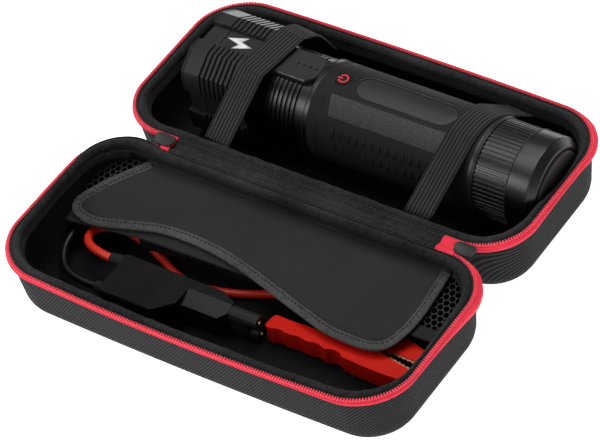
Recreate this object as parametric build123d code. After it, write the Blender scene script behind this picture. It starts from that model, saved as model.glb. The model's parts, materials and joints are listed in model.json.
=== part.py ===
"""Torch-style jump starter with its lead set, in a zip-up case that lies open flat.

Millimetres, +Z up. The origin is on the floor, under the middle of the fabric hinge. X runs along the
hinge, the base half of the case is on +Y and the lid half on -Y.
"""
from build123d import *
from math import cos, sin, tan, radians, degrees, atan2, hypot, pi, acos
import os

os.makedirs("parts", exist_ok=True)

# ---- driving dimensions: case ------------------------------------------------
CASE_L = 280.0            # length of each half along X
HALF_W = 122.0            # width of each half along Y
HALF_GAP = 7.7            # space between the two rims at the hinge
CASE_H = 48.0             # height of the closing plane above the floor
RIM_CLEAR = 0.4           # each rim stops this far below the closing plane
CORNER_R = 33.0           # corner radius of the rim, seen from above
BOTTOM_INSET = 3.0        # wall draft, rim to floor
BOTTOM_R = 15.0           # rounded lower edge
SHELL_T = 2.8             # moulded foam shell
LINING_T = 1.2            # fabric lining
TAPE_T = 1.2              # zipper tape thickness
TAPE_H = 8.0
TEETH_H = 2.0
BIND_W = 5.2              # padded binding that covers the rim
BIND_H = 6.0
ZIP_END_X = 96.0          # the zipper ends here on the hinge side
HALF_Y = HALF_GAP / 2 + HALF_W / 2
FLOOR_Z = SHELL_T + LINING_T
RIM_Z = CASE_H - RIM_CLEAR

# ---- driving dimensions: torch -----------------------------------------------
TORCH_Y = 74.0
TORCH_Z = 36.4
GRIP_R = 30.5
HEAD_X0, HEAD_X1 = -114.0, -71.5
NECK_X1 = -28.5
GRIP_X0, GRIP_X1 = -25.5, 87.0
COLLAR_X1 = 90.8
RING_X1 = 113.3
SLEEVE_X1 = 127.3
TAIL_X1 = 131.4
HEAD_HALF = 32.2          # height of the head above and below its axis
CORE_R = 26.5
CORE_BORE = 25.6
BUTTON_X = -13.5
CORE_X0 = -46.0
PLATE_X0, PLATE_X1, PLATE_HALF = -66.0, -29.5, 11.5
INLAY_X0, INLAY_X1 = -3.0, 66.0

# ---- driving dimensions: lead set --------------------------------------------
LEAD_D = 5.2
MODULE_TOP = 24.5
MODULE_Z0 = FLOOR_Z + 0.3
MODULE_SPLIT = 13.0
PLUG_PITCH = 9.3
PLUG_Y, PLUG_Z = -79.5, 14.6
CLAMP_T = 12.6            # clamp thickness
CLAMP_SPREAD = 22.0       # outer half width at the handle ends
HANDLE_W = 11.0           # width of each handle at its end
HANDLE_L, JAW_L = 65.0, 32.0
RED_PIVOT, RED_TILT = (90.0, -65.0, 12.4), -6.0
BLACK_PIVOT, BLACK_TILT = (-20.0, -33.9, 17.0), 0.0      # this clamp lies across the red lead

# ---- driving dimensions: flap and pocket --------------------------------------
FLAP_Y, FLAP_Z = -10.2, 36.6
FLAP_SLOPE = 12.2         # degrees down towards its free edge
FLAP_T = 1.0
FLAP_LEFT, FLAP_RIGHT = -131.0, 110.5     # ends of the flap at its widest
MESH_DROP = 2.6           # the mesh lies this far under the flap


def save(shape, node):
    export_step(shape, f"parts/{node}.step")


def group(*shapes):
    return Compound(children=[s for shape in shapes for s in Part(shape.wrapped).solids()])


def box(x0, x1, y0, y1, z0, z1):
    return Pos((x0 + x1) / 2, (y0 + y1) / 2, (z0 + z1) / 2) * Box(x1 - x0, y1 - y0, z1 - z0)


def rod_x(r, x0, x1, y=TORCH_Y, z=TORCH_Z):
    """Cylinder along X."""
    return Pos((x0 + x1) / 2, y, z) * Rot(0, 90, 0) * Cylinder(r, x1 - x0)


def rod_z(r, x, y, z0, z1):
    return Pos(x, y, (z0 + z1) / 2) * Cylinder(r, z1 - z0)


# ---- case halves ---------------------------------------------------------------
def footprint(inset, z):
    sketch = RectangleRounded(CASE_L - 2 * inset, HALF_W - 2 * inset, CORNER_R - inset)
    return Pos(0, HALF_Y, z) * sketch


def tub(inset, z0, z1):
    """Drafted block with a rounded lower edge, the outside of one layer of the case."""
    draft = degrees(atan2(BOTTOM_INSET, RIM_Z))
    block = extrude(footprint(inset, z1), amount=z1 - z0, dir=(0, 0, -1), taper=draft)
    lower = block.edges().group_by(Axis.Z)[0]
    return fillet(lower, BOTTOM_R - max(0.0, inset - TAPE_T))


def rim_band(inset, width, z0, z1):
    return extrude(footprint(inset, z0) - footprint(inset + width, z0), amount=z1 - z0)


def open_at_hinge(band):
    """The zipper leaves out the straight stretch along the hinge."""
    return band - box(-ZIP_END_X, ZIP_END_X, -10, HALF_GAP / 2 + 12, 0, 60)


def case_half():
    shell_top = RIM_Z - BIND_H
    outer = tub(TAPE_T, 0, shell_top)
    middle = tub(TAPE_T + SHELL_T, SHELL_T, shell_top)
    inner = tub(TAPE_T + SHELL_T + LINING_T, FLOOR_Z, shell_top)
    shell = outer - middle
    lining = middle - inner
    binding = rim_band(TAPE_T + 0.6, BIND_W, shell_top, RIM_Z)
    top_edges = binding.edges().group_by(Axis.Z)[-1]
    binding = fillet(top_edges, 2.2)
    tape = open_at_hinge(rim_band(0, TAPE_T, RIM_Z - TAPE_H - 1.4, RIM_Z - 1.4))
    teeth = open_at_hinge(rim_band(0.2, 1.5, RIM_Z - 1.4, RIM_Z - 1.4 + TEETH_H - 0.6))
    return {"shell": shell, "lining": lining, "binding": binding, "zip_tape": tape, "zip_teeth": teeth}


def build_case():
    for name, shape in case_half().items():
        save(shape, f"base_{name}")
        save(mirror(shape, about=Plane.XZ), f"lid_{name}")


def hinge_gusset():
    """Fabric hinge: a soft roll on the hinge line, sewn to the base rim by a narrow web."""
    length = CASE_L - 2 * CORNER_R
    roll = rod_x(3.2, -length / 2 + 16, length / 2 - 16, 0, CASE_H)
    web = box(-length / 2 + 16, length / 2 - 16, 1.2, HALF_GAP / 2 + 1.4, CASE_H - 4.6, CASE_H - 1.6)
    return roll + web


def zip_slider(side):
    """Slider at one end of the zipper, small enough for the lid to turn round it."""
    x0 = side * 92.2
    x1 = side * 104.0
    body = rod_x(3.3, min(x0, x1), max(x0, x1), 0, CASE_H)
    waist = box(min(x0, x1) - 1, max(x0, x1) + 1, -2.4, 2.4, CASE_H - 2.3, CASE_H + 2.3)
    bridge_x = side * 101.0
    return (body & waist) - rod_y(1.35, bridge_x)


def rod_y(r, x):
    return Pos(x, 0, CASE_H) * Rot(90, 0, 0) * Cylinder(r, 12)


def zip_puller(side):
    """Moulded pull tab on a pin through the slider."""
    pin_x = side * 101.0
    tab = Pos(side * 112.5, 0, CASE_H - 0.2) * Box(13.0, 6.4, 2.4)
    puller = fillet(tab.edges().filter_by(Axis.Z), 3.0)
    x0, x1 = sorted((pin_x - side * 1.5, side * 108.5))
    for y0, y1 in ((2.6, 3.2), (-3.2, -2.6)):
        puller += box(x0, x1, y0, y1, CASE_H - 1.3, CASE_H + 1.0)
    return puller + Pos(pin_x, 0, CASE_H) * Rot(90, 0, 0) * Cylinder(1.28, 6.3)


# ---- torch: outside ------------------------------------------------------------
def head_section(inset, channel_depth):
    """Half-symmetric head outline in YZ: a chamfered block with a channel in each side."""
    a = HEAD_HALF - inset
    corners = [(17.0 - 0.4 * inset, a), (29.5 - inset, 23.5 - 0.7 * inset), (31.0 - inset, 16.0)]
    quarter = corners + [(31.0 - inset, 0)]
    outline = [(0, a)] + quarter
    outline += [(y, -z) for y, z in reversed(corners)] + [(0, -a)]
    outline += [(-y, -z) for y, z in corners] + [(-31.0 + inset, 0)]
    outline += [(-y, z) for y, z in reversed(corners)]
    face = make_face(Polyline(*outline, close=True))
    if channel_depth:
        d = channel_depth
        for width, along, across in ((16.6, 0, HEAD_HALF - d / 2), (16.6, 0, -HEAD_HALF + d / 2)):
            face -= Pos(along, across) * Rectangle(width, d + 0.001)
        for across in (31.0 - d / 2, -31.0 + d / 2):
            face -= Pos(across, 0) * Rectangle(d + 0.001, 16.6)
    return face


def along_x(face, x0, x1):
    """Extrude a YZ outline, centred on the torch axis, from x0 to x1."""
    plane = Plane(origin=(x0, TORCH_Y, TORCH_Z), x_dir=(0, 1, 0), z_dir=(1, 0, 0))
    return extrude(plane * face, amount=x1 - x0)


LAMP_OFFSETS = [(y, z) for y in (-12.2, 12.2) for z in (-12.2, 12.2)]
CHANNEL_D = 4.2
PLATE_T = 1.4


def torch_head():
    body = along_x(head_section(0, CHANNEL_D), HEAD_X0 + 2, HEAD_X1)
    ring = head_section(0, 0) - head_section(1.7, 0)
    pitch, width = 3.45, 1.4
    for i in range(9):
        x = HEAD_X0 + 13.0 + i * pitch
        body -= along_x(ring, x, x + width)
    body -= box(HEAD_X0, HEAD_X0 + 32, TORCH_Y - 25, TORCH_Y + 25, TORCH_Z - 25, TORCH_Z + 25)
    return body - rod_x(10, HEAD_X0, HEAD_X1 + 1)


def head_plates():
    """Smooth plates lying in the four channels, each in two lengths with a thin joint between them."""
    plates = []
    joint = HEAD_X0 + 13.0
    for x0, x1 in ((HEAD_X0 + 2.0, joint - 0.2), (joint + 0.2, HEAD_X1)):
        level = HEAD_HALF - CHANNEL_D
        side = 31.0 - CHANNEL_D
        for sign in (1, -1):
            z = sorted((TORCH_Z + sign * level, TORCH_Z + sign * (level + PLATE_T)))
            plates.append(box(x0, x1, TORCH_Y - 8.2, TORCH_Y + 8.2, *z))
            y = sorted((TORCH_Y + sign * side, TORCH_Y + sign * (side + PLATE_T)))
            plates.append(box(x0, x1, *y, TORCH_Z - 8.2, TORCH_Z + 8.2))
    return group(*plates)


def torch_bezel():
    bezel = along_x(head_section(0, CHANNEL_D), HEAD_X0, HEAD_X0 + 2)
    for y, z in LAMP_OFFSETS:
        bezel -= rod_x(10.6, HEAD_X0 - 1, HEAD_X0 + 3, TORCH_Y + y, TORCH_Z + z)
    for y, z in screw_places():
        bezel -= rod_x(1.6, HEAD_X0 - 1, HEAD_X0 + 3, y, z)
    return bezel


def screw_places():
    return [(TORCH_Y + y, TORCH_Z + z) for y in (-25.0, 25.0) for z in (-22.0, 22.0)]


def bezel_screws():
    screws = []
    for y, z in screw_places():
        head = rod_x(1.5, HEAD_X0 + 0.4, HEAD_X0 + 2.0, y, z)
        socket = Pos(HEAD_X0 + 0.4, y, z) * Rot(0, 90, 0) * extrude(RegularPolygon(0.8, 6), 0.8)
        screws.append(head - socket)
    return group(*screws)


def torch_lenses():
    return group(*[rod_x(10.5, HEAD_X0 + 0.5, HEAD_X0 + 2.0, TORCH_Y + y, TORCH_Z + z)
                   for y, z in LAMP_OFFSETS])


def torch_reflectors():
    cups = []
    for y, z in LAMP_OFFSETS:
        place = Pos(HEAD_X0 + 10.2, TORCH_Y + y, TORCH_Z + z) * Rot(0, -90, 0)
        cups.append(place * (Cone(4.4, 11.4, 15.6) - Cone(3.4, 10.4, 15.7)))
    return group(*cups)


def led_board():
    """Aluminium board with one light chip behind each reflector."""
    x = HEAD_X0 + 18.6
    board = box(x, x + 1.6, TORCH_Y - 24, TORCH_Y + 24, TORCH_Z - 24, TORCH_Z + 24)
    for y, z in LAMP_OFFSETS:
        board += box(x - 1.0, x, TORCH_Y + y - 1.7, TORCH_Y + y + 1.7, TORCH_Z + z - 1.7, TORCH_Z + z + 1.7)
    return board


def torch_neck():
    neck = rod_x(29.4, HEAD_X1, NECK_X1)
    for i in range(7):
        x = HEAD_X1 + 16.0 + i * 3.2
        neck -= rod_x(31, x, x + 1.5) - rod_x(28.1, x, x + 1.5)
    neck += rod_x(GRIP_R, NECK_X1, GRIP_X0)
    neck -= rod_x(CORE_R + 0.02, CORE_X0, GRIP_X0 + 1)
    neck -= rod_x(12, HEAD_X1 - 1, CORE_X0 + 1)
    half = PLATE_HALF + 0.2
    pocket = box(PLATE_X0 - 0.2, PLATE_X1 + 0.2, TORCH_Y - half, TORCH_Y + half, TORCH_Z + 27.0, TORCH_Z + 32)
    return neck - pocket


def indicator_plate():
    """Flat plate on top of the neck with its corners cut off."""
    half = PLATE_HALF
    length = (PLATE_X1 - PLATE_X0) / 2
    outline = [(-length, half - 6), (-length + 5, half), (length - 5, half), (length, half - 6),
               (length, 6 - half), (length - 5, -half), (-length + 5, -half), (-length, 6 - half)]
    middle = (PLATE_X0 + PLATE_X1) / 2
    face = Pos(middle, TORCH_Y, TORCH_Z + 27.0) * make_face(Polyline(*outline, close=True))
    plate = extrude(face, amount=3.3)
    plate = chamfer(plate.edges().group_by(Axis.Z)[-1], 0.7)
    for x in light_places():
        plate -= rod_z(0.95, x, TORCH_Y, TORCH_Z + 29.3, TORCH_Z + 31)
    return plate


def light_places():
    return [-46.0 + 4.3 * i for i in range(4)]


def indicator_lights():
    return group(*[rod_z(0.9, x, TORCH_Y, TORCH_Z + 29.3, TORCH_Z + 30.2) for x in light_places()])


def torch_core():
    tube = rod_x(CORE_R, CORE_X0, COLLAR_X1) - rod_x(CORE_BORE, CORE_X0 + 2, COLLAR_X1 + 1)
    return tube - button_well(6.0)


def button_well(r):
    return rod_z(r, BUTTON_X, TORCH_Y, TORCH_Z + 20, TORCH_Z + 34)


def battery_cells():
    """Four round cells, two by two, in the middle of the grip."""
    x0, length, r, offset = -26.0, 70.0, 9.2, 10.2
    cells = [rod_x(r, x0, x0 + length, TORCH_Y + y, TORCH_Z + z)
             for y in (-offset, offset) for z in (-offset - 2.0, offset - 2.0)]
    return group(*cells)


def control_board():
    board = box(47.0, 77.0, TORCH_Y - 20, TORCH_Y + 20, TORCH_Z - 3, TORCH_Z - 1.4)
    board += box(51.0, 65.0, TORCH_Y - 14, TORCH_Y - 2, TORCH_Z - 1.4, TORCH_Z + 4)
    board += box(53.0, 63.0, TORCH_Y + 3, TORCH_Y + 13, TORCH_Z - 1.4, TORCH_Z + 6)
    return board


def grip_recess(grow):
    """Space for the smooth inlay on top of the grip."""
    face = SlotOverall(INLAY_X1 - INLAY_X0 + 2 * grow, 17.0 + 2 * grow)
    middle = (INLAY_X0 + INLAY_X1) / 2
    return extrude(Pos(middle, TORCH_Y, TORCH_Z + 25) * face, amount=10)


def torch_grip():
    grip = rod_x(GRIP_R, GRIP_X0, GRIP_X1) - rod_x(CORE_R, GRIP_X0 - 1, GRIP_X1 + 1)
    grip -= button_well(5.3)
    grip -= grip_recess(0.0) - rod_x(GRIP_R - 1.6, GRIP_X0, GRIP_X1)
    return grip


def grip_inlay():
    band = rod_x(GRIP_R - 0.1, INLAY_X0 - 5, INLAY_X1 + 5) - rod_x(GRIP_R - 1.6, INLAY_X0 - 6, INLAY_X1 + 6)
    return grip_recess(-0.15) & band


def power_button():
    cap = rod_z(5.0, BUTTON_X, TORCH_Y, TORCH_Z + 27.6, TORCH_Z + 33)
    return cap & rod_x(GRIP_R + 0.1, BUTTON_X - 8, BUTTON_X + 8)


def rear_collar():
    return rod_x(GRIP_R, GRIP_X1, COLLAR_X1) - rod_x(CORE_R, GRIP_X1 - 1, COLLAR_X1 + 1)


def output_socket():
    """Two-pole output socket in the tail, under the cap."""
    y, z = TORCH_Y, TORCH_Z
    block = box(COLLAR_X1 - 12, 107, y - 14, y + 14, z - 8, z + 8)
    block = fillet(block.edges().filter_by(Axis.X), 3)
    for side in (-PLUG_PITCH / 2, PLUG_PITCH / 2):
        block -= rod_x(2.6, 94, 108, y + side * 1.4, z)
    return block


def tail_ring():
    """Ribbed ring of the turning tail cap."""
    teeth = 64
    section = Circle(29.2)
    section += PolarLocations(29.2, teeth) * Rectangle(1.7, 1.5)
    section -= Circle(27.0)
    return along_x(section, COLLAR_X1 + 0.3, RING_X1)


def tail_sleeve():
    sleeve = rod_x(30.3, RING_X1, SLEEVE_X1)
    bevel = Pos((SLEEVE_X1 + TAIL_X1) / 2, TORCH_Y, TORCH_Z) * Rot(0, 90, 0)
    sleeve += bevel * Cone(30.3, 25.5, TAIL_X1 - SLEEVE_X1)
    return sleeve - rod_x(27.0, RING_X1 - 1, SLEEVE_X1 - 4) - rod_x(23.6, SLEEVE_X1 - 1, TAIL_X1 + 1)


def tail_disc():
    disc = rod_x(23.3, SLEEVE_X1 - 1, TAIL_X1 + 1.2)
    return fillet(disc.faces().sort_by(Axis.X)[-1].edges(), 2.0)


# ---- straps --------------------------------------------------------------------
def ribbon(points, thickness, x, width, turn):
    """Webbing that follows a line in YZ, given as the inner edge, `thickness` thick and `width` wide."""
    outer = []
    for i, (y, z) in enumerate(points):
        before = points[max(i - 1, 0)]
        after = points[min(i + 1, len(points) - 1)]
        d1 = direction(before, (y, z)) if i else direction((y, z), after)
        d2 = direction((y, z), after) if i < len(points) - 1 else d1
        ny, nz = -(d1[1] + d2[1]), d1[0] + d2[0]
        scale = 2 * thickness / (ny * ny + nz * nz)
        outer.append((y + ny * scale, z + nz * scale))
    plane = Plane(origin=(x - width / 2, 0, 0), x_dir=(0, 1, 0), z_dir=(1, 0, 0))
    band = extrude(plane * make_face(Polyline(*points, *reversed(outer), close=True)), amount=width)
    return Pos(x, TORCH_Y, 0) * Rot(0, 0, turn) * Pos(-x, -TORCH_Y, 0) * band


def direction(a, b):
    length = hypot(b[0] - a[0], b[1] - a[1])
    return ((b[0] - a[0]) / length, (b[1] - a[1]) / length)


def strap_left():
    y, z = TORCH_Y, TORCH_Z
    line = [(15.5, 41.5), (y - 19.0, z + 32.6), (y + 18.5, z + 32.6), (y + 31.0, z + 24.0), (116.0, 40.5)]
    return ribbon(line, 1.2, -63.3, 19.0, -7.0)


def strap_right():
    y, z, r = TORCH_Y, TORCH_Z, GRIP_R + 0.6
    arc = [(y - r * cos(radians(a)), z + r * sin(radians(a))) for a in range(62, 136, 9)]
    line = [(15.0, 41.5)] + arc + [(116.0, 40.5)]
    return ribbon(line, 1.2, 77.4, 19.0, -5.0)


# ---- lead set ------------------------------------------------------------------
def module_plan():
    """Plan of the module: a wide body, a slanted step and a narrower nose."""
    return [(-79.5, -70.5), (-11, -70.5), (1, -76), (1, -84), (-4, -88.5), (-27.5, -88.5), (-42, -103),
            (-76, -103), (-79.5, -99.5)]


def module_top():
    body = extrude(Pos(0, 0, MODULE_SPLIT) * make_face(Polyline(*module_plan(), close=True)),
                   amount=MODULE_TOP - MODULE_SPLIT)
    nose_cut = Plane(origin=(-17, -78.0, MODULE_TOP), x_dir=(1, 0, 0), z_dir=(0, -0.33, 0.944))
    body -= (nose_cut * Pos(0, 0, 10) * Box(44, 60, 20)) & box(-30.0, 5, -105, -65, 10, 40)
    body = chamfer(body.edges().group_by(Axis.Z)[-1].filter_by(Axis.X), 1.0)
    body -= module_hollow()
    return body - lead_holes() - plug_seat()


def module_base():
    body = extrude(Pos(0, 0, MODULE_Z0) * make_face(Polyline(*module_plan(), close=True)),
                   amount=MODULE_SPLIT - MODULE_Z0)
    body = chamfer(body.edges().group_by(Axis.Z)[0], 1.0)
    return body - module_hollow() - lead_holes() - plug_seat()


def module_hollow():
    wide = box(-77, -44, -99, -73.5, MODULE_Z0 + 2, MODULE_TOP - 2.2)
    wide += box(-45, -34.5, -88.5, -73.5, MODULE_Z0 + 2, MODULE_TOP - 2.2)
    return wide + box(-35, -5, -84.5, -74, 6.3, 18)


def lead_holes():
    return rod_x(4.0, -81, -76, *RED_EXIT[1:]) + rod_x(4.0, -81, -76, *BLACK_EXIT[1:])


def plug_seat():
    return box(-6, 3, PLUG_Y - 3.5, PLUG_Y + 3.5, 7.5, 21.5)


def module_board():
    board = box(-76, -9, -84, -75, 8.0, 9.6) + box(-76, -46, -97, -75, 8.0, 9.6)
    board += box(-70, -58, -93, -79, 9.6, 20)
    board += box(-54, -47, -95, -83, 9.6, 15)
    return board


def plug_body():
    """Two-pole plug: two barrels one above the other, on a common root."""
    body = box(-5, 5, PLUG_Y - 3.3, PLUG_Y + 3.3, 7.7, 21.3)
    for side in (-1, 1):
        z = PLUG_Z + side * PLUG_PITCH / 2
        body += rod_x(4.7, 1.3, 20.8, PLUG_Y, z)
    body += box(1.3, 14, PLUG_Y - 4.7, PLUG_Y + 4.7, PLUG_Z - 5.5, PLUG_Z + 5.5)
    for side in (-1, 1):
        z = PLUG_Z + side * PLUG_PITCH / 2
        body -= rod_x(2.9, 4, 22, PLUG_Y, z)
    return body


def plug_contacts():
    tubes = []
    for side in (-1, 1):
        z = PLUG_Z + side * PLUG_PITCH / 2
        tubes.append(rod_x(2.9, 4, 19, PLUG_Y, z) - rod_x(2.2, 8, 20, PLUG_Y, z))
    return group(*tubes)


RED_EXIT = (-90.0, -74.4, 19.0)
BLACK_EXIT = (-90.0, -92.5, 12.5)


def lead_relief(exit_point):
    """Tapered rubber sleeve where a lead leaves the module."""
    x, y, z = exit_point
    sleeve = rod_x(3.9, -80.2, -77.2, y, z)
    return sleeve + Pos((x - 79.8) / 2, y, z) * Rot(0, -90, 0) * Cone(4.6, 3.6, -79.8 - x)


def handle_end(pivot, tilt, drop=0.0):
    """Middle of the end of the handle on the +Y side, where the lead goes in."""
    end = Pos(*pivot) * Rot(0, 0, tilt) * Pos(-HANDLE_L, CLAMP_SPREAD - HANDLE_W / 2, -drop)
    return tuple(end.position)


def lead_path(points):
    """Straight runs joined by tangent arcs, each as wide as its shorter run allows."""
    edges, start = [], Vector(*points[0])
    for i in range(1, len(points) - 1):
        a, b, c = (Vector(*points[k]) for k in (i - 1, i, i + 1))
        u, v = (b - a).normalized(), (c - b).normalized()
        turn = acos(max(-1.0, min(1.0, u.dot(v))))
        reach = 0.45 * min((b - a).length, (c - b).length)
        print(f"lead corner {i}: turn {degrees(turn):.0f} deg, radius {reach / tan(turn / 2):.1f} mm")
        p, q = b - u * reach, b + v * reach
        if (p - start).length > 1e-6:
            edges.append(Line(start, p))
        edges.append(TangentArc(p, q, tangent=u))
        start = q
    edges.append(Line(start, Vector(*points[-1])))
    return Wire(edges)


def lead(points):
    path = lead_path(points)
    profile = Plane(origin=path @ 0, z_dir=path % 0) * Circle(LEAD_D / 2)
    tube = sweep(profile, path)
    print(f"lead length {path.length:.1f} mm, volume ratio {tube.volume / (pi * LEAD_D**2 / 4 * path.length):.4f}")
    return tube


RED_LEAD = [
    RED_EXIT,
    (-113.5, -75.3, 20.0),
    (-123.5, -55.0, 14.5),
    (-108.0, -38.5, 6.9),
    (-76.0, -50.5, 6.9),
    (-46.0, -59.0, 6.9),
    (-14.0, -60.5, 6.9),
    (9.5, -54.0, 6.9),
    handle_end(RED_PIVOT, RED_TILT, 2.4),
]
BLACK_LEAD = [
    BLACK_EXIT,
    (-111.0, -94.5, 13.0),
    (-127.0, -76.0, 14.5),
    (-127.5, -47.0, 14.5),
    (-110.0, -25.0, 16.0),
    handle_end(BLACK_PIVOT, BLACK_TILT),
]


# ---- clamps --------------------------------------------------------------------
LUG_R = 6.5
PIN_R = 2.0


def clamp_arm_plan():
    """One arm of a clamp, seen from above: pivot at the origin, jaw towards +X, on the +Y side."""
    s = CLAMP_SPREAD
    outer = Spline((JAW_L, 11.6), (14, 14.6), (-20, 16.6), (-HANDLE_L, s))
    inner = Spline((-HANDLE_L, s - HANDLE_W), (-30, 6.2), (-8, 3.2), (8, 2.2))
    lines = [Line((-HANDLE_L, s), (-HANDLE_L, s - HANDLE_W)), Line((8, 2.2), (JAW_L, 3.6)),
             Line((JAW_L, 3.6), (JAW_L, 11.6))]
    face = make_face([outer, inner] + lines)
    for i in range(4):
        x = -54 + 12.5 * i
        face -= Pos(x, 27.8 - 1.5 * i) * Circle(9.0)
    return face


def clamp_arm(lugs):
    """Arm with its pivot lugs; `lugs` lists the height ranges of its own lugs, from the middle plane."""
    arm = extrude(Pos(0, 0, -CLAMP_T / 2) * clamp_arm_plan(), amount=CLAMP_T)
    ends = arm.edges().filter_by(Axis.Z).group_by(Axis.X)
    arm = fillet(ends[0] + ends[-1], 2.6)
    arm = arm - Cylinder(LUG_R + 0.5, CLAMP_T + 2)
    for z0, z1 in lugs:
        lug = rod_z(LUG_R, 0, 0, z0, z1)
        web = box(-5, 5, 3.0, 9.0, z0, z1)
        arm += lug + web
    return arm - Cylinder(PIN_R + 0.05, CLAMP_T + 2)


def clamp_jaw():
    """Toothed plate on the inside of one jaw, on the +Y side."""
    plate = box(0, JAW_L - 11, -1.4, 0, -CLAMP_T / 2 + 0.5, CLAMP_T / 2 - 0.5)
    for i in range(6):
        plate -= Pos(1.8 + i * 3.2, -1.4, 0) * Rot(0, 0, 45) * Box(1.1, 1.1, CLAMP_T + 2)
    slope = degrees(atan2(1.4, JAW_L - 8))
    return Pos(8.4, 2.12, 0) * Rot(0, 0, slope) * Pos(2, 0, 0) * plate


FIXED_LUGS = [(-2.0, 2.0)]
MOVING_LUGS = [(4.7, CLAMP_T / 2), (-CLAMP_T / 2, -4.7)]
SPRING_LEVEL = 3.35


def clamp_spring():
    """Torsion spring on the pivot pin: one coil each side of the middle lug."""
    coil = Cylinder(4.2, 2.1) - Cylinder(2.6, 3)
    leg = Pos(-7.5, 2.2, 0) * Box(9, 1.1, 1.1) - Cylinder(3.4, 3)
    return [Pos(0, 0, level) * (coil + leg) for level in (SPRING_LEVEL, -SPRING_LEVEL)]


def build_clamps():
    pins, springs = [], []
    for colour, pivot, tilt in (("red", RED_PIVOT, RED_TILT), ("black", BLACK_PIVOT, BLACK_TILT)):
        place = Pos(*pivot) * Rot(0, 0, tilt)
        save(place * clamp_arm(FIXED_LUGS), f"{colour}_fixed_arm")
        save(place * mirror(clamp_arm(MOVING_LUGS), about=Plane.XZ), f"{colour}_moving_arm")
        save(place * clamp_jaw(), f"{colour}_fixed_jaw")
        save(place * mirror(clamp_jaw(), about=Plane.XZ), f"{colour}_moving_jaw")
        pins.append(place * Cylinder(PIN_R, CLAMP_T - 0.2))
        springs += [place * spring for spring in clamp_spring()]
    save(group(*pins), "clamp_pins")
    save(group(*springs), "clamp_springs")


# ---- flap and pocket -------------------------------------------------------------
FLAP_REAR = [(110.0, 0.0), (-104.0, 0.0)]
FLAP_FRONT = [(-124.5, -50.5), (-110.0, -51.8), (-90.0, -47.0), (-64.0, -39.6), (-24.0, -42.6), (20.0, -53.0),
              (60.0, -63.0), (83.0, -63.4), (99.0, -57.0)]
FLAP_BIND_W = 6.0


def flap_plan(inset):
    """Flap seen square on, with the sewn edge along local X and the free edge as one S-curve."""
    x_left, x_right = FLAP_LEFT + inset, FLAP_RIGHT - inset
    front = Spline(*[(x, y + inset) for x, y in FLAP_FRONT], tangents=[(0.9, -0.35), (0.85, 0.5)])
    rear = Line((FLAP_REAR[0][0] - inset, 0), (FLAP_REAR[1][0] + inset, 0))
    left = Line((FLAP_REAR[1][0] + inset, 0), (x_left, -40.5))
    left_corner = Spline((x_left, -40.5), front @ 0, tangents=[(-5, -9), (0.9, -0.35)])
    right = Line((FLAP_REAR[0][0] - inset, 0), (x_right, -36.0))
    right_corner = Spline(front @ 1, (x_right, -36.0), tangents=[(0.85, 0.5), (0.3, 9)])
    return make_face([rear, left, left_corner, front, right_corner, right])


def tilted(shape, drop):
    """Lay a sheet along the flap plane, `drop` below it."""
    return Pos(0, FLAP_Y, FLAP_Z - drop) * Rot(FLAP_SLOPE, 0, 0) * shape


def flap():
    return tilted(extrude(Pos(0, 0, -FLAP_T / 2) * flap_plan(FLAP_BIND_W), amount=FLAP_T), 0)


def flap_binding():
    ring = flap_plan(0) - flap_plan(FLAP_BIND_W - 0.2)
    return tilted(extrude(Pos(0, 0, -FLAP_T * 0.8) * ring, amount=FLAP_T * 1.6), 0)


POCKET_EDGE = [(-150.0, -57.0), (-79.0, -48.4), (0.0, -46.5), (150.0, -43.5)]     # in the flap plane


def pocket_sheet(rear, front, thickness):
    """Strip of the pocket; `rear` and `front` are distances behind the pocket's open edge."""
    front_line = [(x, y + front) for x, y in POCKET_EDGE]
    rear_line = [(x, y + rear) for x, y in reversed(POCKET_EDGE)] if rear else [(150.0, -2.0), (-150.0, -2.0)]
    outline = Polyline(*front_line, *rear_line, close=True)
    sheet = tilted(extrude(Pos(0, 0, -thickness / 2) * make_face(outline), amount=thickness), MESH_DROP)
    inside = extrude(footprint(TAPE_T + SHELL_T + LINING_T + 3.4, 0), amount=CASE_H)
    return sheet & mirror(inside, about=Plane.XZ)


def main():
    build_case()
    save(hinge_gusset(), "hinge_gusset")
    save(group(zip_slider(-1), zip_slider(1)), "zip_sliders")
    save(zip_puller(-1), "puller_left")
    save(zip_puller(1), "puller_right")
    pieces = (
        torch_head, head_plates, torch_bezel, bezel_screws, torch_lenses, torch_reflectors, led_board,
        torch_neck, indicator_plate, indicator_lights, torch_core, battery_cells, control_board, torch_grip,
        grip_inlay, power_button, rear_collar, output_socket, tail_ring, tail_sleeve, tail_disc,
        strap_left, strap_right, module_top, module_base, module_board, plug_body, plug_contacts, flap,
        flap_binding,
    )
    for piece in pieces:
        save(piece(), piece.__name__)
    save(group(lead_relief(RED_EXIT), lead_relief(BLACK_EXIT)), "lead_reliefs")
    save(lead(RED_LEAD), "red_lead")
    save(lead(BLACK_LEAD), "black_lead")
    build_clamps()
    save(pocket_sheet(None, 5.3, 0.8), "mesh_pocket")
    save(pocket_sheet(5.2, 0.0, 1.6), "pocket_hem")


main()
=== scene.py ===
"""Looks of the jump starter pack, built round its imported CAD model. Lengths in the helpers are millimetres."""
import json
import math
from math import cos, hypot, pi, radians, sin

import bmesh
import bpy
import numpy as np
from mathutils import Matrix, Vector, noise


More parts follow.
